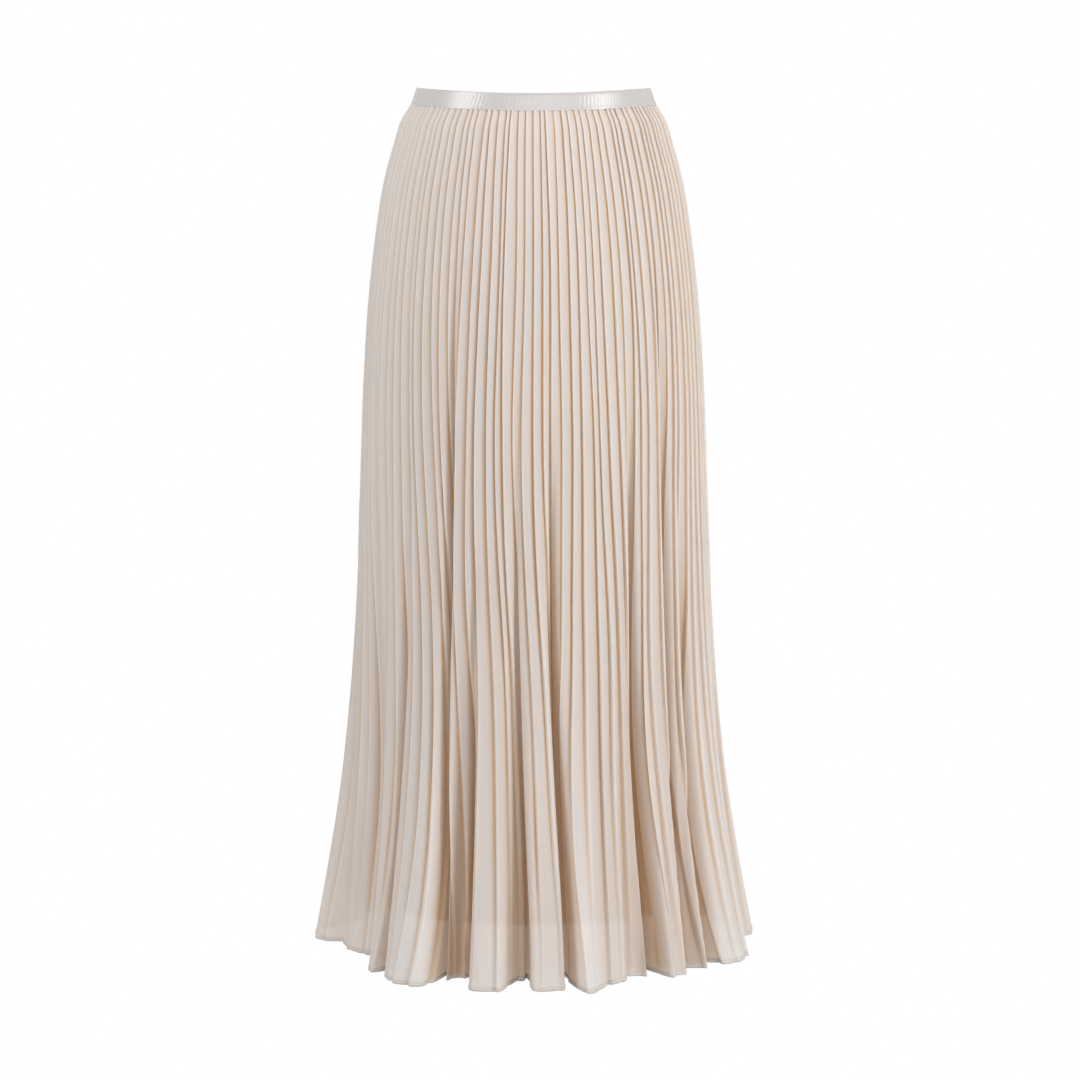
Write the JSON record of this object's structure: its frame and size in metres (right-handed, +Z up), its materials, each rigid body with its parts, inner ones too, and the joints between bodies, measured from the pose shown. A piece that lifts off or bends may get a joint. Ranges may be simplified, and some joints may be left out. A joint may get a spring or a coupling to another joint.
{
  "type": "pleated maxi skirt",
  "caption": "Ankle-length skirt of fine sunray pleats on a narrow elastic waistband, hanging hollow as worn, with a shorter plain lining inside.",
  "frame": {"origin": "middle of the waist, level with the waistband's top edge at the two sides, where the wearer's waist holds the skirt", "axes": "+Z up along the body, -Y towards the front of the skirt, +X towards the wearer's left"},
  "size_m": [0.4871, 0.4459, 0.942],
  "materials": {
    "satin_elastic": "satin-faced woven elastic",
    "pleated_chiffon": "sheer matte crepe chiffon, heat-set pleats",
    "lining_cloth": "smooth light lining"
  },
  "bodies": {
    "root": {"waistband": "satin_elastic", "skirt_front": "pleated_chiffon", "skirt_back": "pleated_chiffon", "lining_front": "lining_cloth", "lining_back": "lining_cloth"}
  },
  "joints": []
}
